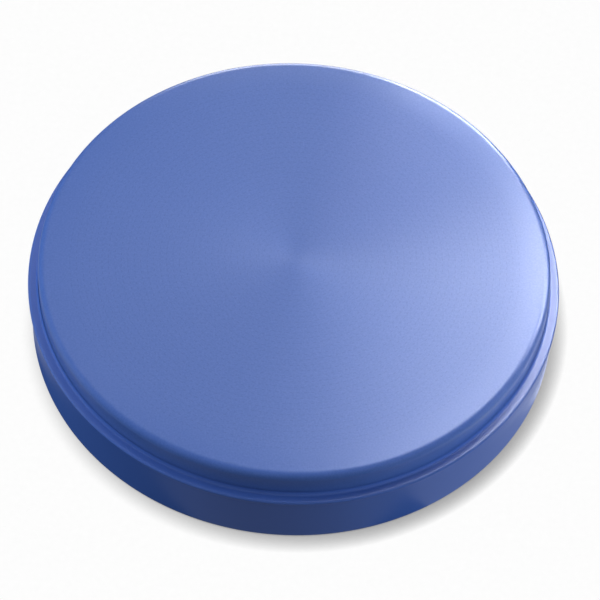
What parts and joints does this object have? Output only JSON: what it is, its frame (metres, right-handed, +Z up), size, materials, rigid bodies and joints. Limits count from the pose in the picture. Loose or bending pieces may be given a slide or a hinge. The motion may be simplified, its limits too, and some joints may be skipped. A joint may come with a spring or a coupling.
{
  "type": "disc air stone",
  "caption": "Round weighted disc air stone with a soft perforated membrane, a clamp ring, a check valve and a turning hose elbow under the base.",
  "frame": {"origin": "on the ground, under the middle of the disc", "axes": "+Z up through the membrane, +Y towards the hose notch at the back, +X to the right"},
  "size_m": [0.2, 0.2, 0.0365],
  "materials": {
    "membrane": "satin blue silicone",
    "shell_plastic": "satin moulded ABS",
    "inner_plastic": "moulded polypropylene",
    "seal_rubber": "matt",
    "ballast": "coated",
    "screw_steel": "plain stainless"
  },
  "bodies": {
    "base": {"base_shell": "shell_plastic", "clamp_ring": "shell_plastic", "membrane": "membrane", "support_plate": "inner_plastic", "ballast_ring": "ballast", "plate_screw_1": "screw_steel", "plate_screw_2": "screw_steel", "plate_screw_3": "screw_steel", "plate_screw_4": "screw_steel", "plate_screw_5": "screw_steel", "plate_screw_6": "screw_steel", "valve_body": "inner_plastic", "valve_washer": "seal_rubber", "valve_spring": "screw_steel", "valve_cage": "inner_plastic", "outlet_o_ring": "seal_rubber", "swivel_nut": "inner_plastic", "foot_1": "seal_rubber", "foot_2": "seal_rubber", "foot_3": "seal_rubber", "foot_4": "seal_rubber"},
    "poppet": {"valve_poppet": "inner_plastic", "poppet_seal": "seal_rubber"},
    "elbow": {"inlet_elbow": "inner_plastic", "elbow_o_ring_1": "seal_rubber", "elbow_o_ring_2": "seal_rubber"}
  },
  "joints": [
    {"name": "valve_lift", "type": "slide", "parent": "base", "child": "poppet", "axis": [0, 0, 1], "range_m": [0, 0.0012], "stiffness_N_per_m": 60, "springref_m": -0.0025, "deforming": ["valve_spring"]},
    {"name": "inlet_swivel", "type": "hinge", "parent": "base", "child": "elbow", "pos_m": [0, 0, 0.007], "axis": [0, 0, 1], "continuous": true}
  ]
}
